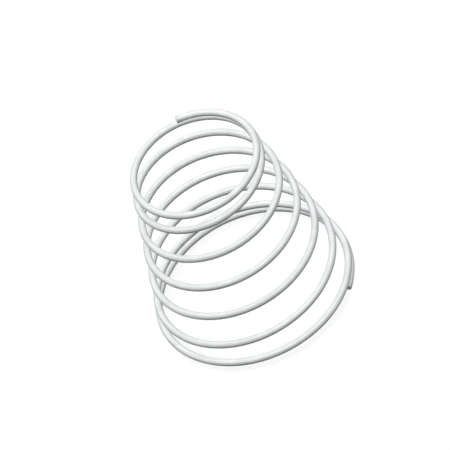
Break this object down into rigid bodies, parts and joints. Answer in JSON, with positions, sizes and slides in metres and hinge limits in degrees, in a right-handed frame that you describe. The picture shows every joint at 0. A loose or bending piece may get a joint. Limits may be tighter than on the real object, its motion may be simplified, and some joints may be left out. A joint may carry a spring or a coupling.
{
  "type": "conical compression spring",
  "caption": "Conical compression spring of round wire, wound right-hand, tapering from a wide closed end to a narrow closed end; squeezed along its axis, it pushes two parts apart.",
  "frame": {"origin": "centre of the large end coil, level with the underside of the wire", "axes": "+Z along the spring's axis from the large end to the small end; +X towards the cut end of the wire at the large end"},
  "size_m": [0.0254, 0.0254, 0.0254],
  "materials": {
    "wire": "drawn spring wire with a pale satin zinc plate"
  },
  "bodies": {
    "root": {"spring": "wire"}
  },
  "joints": []
}
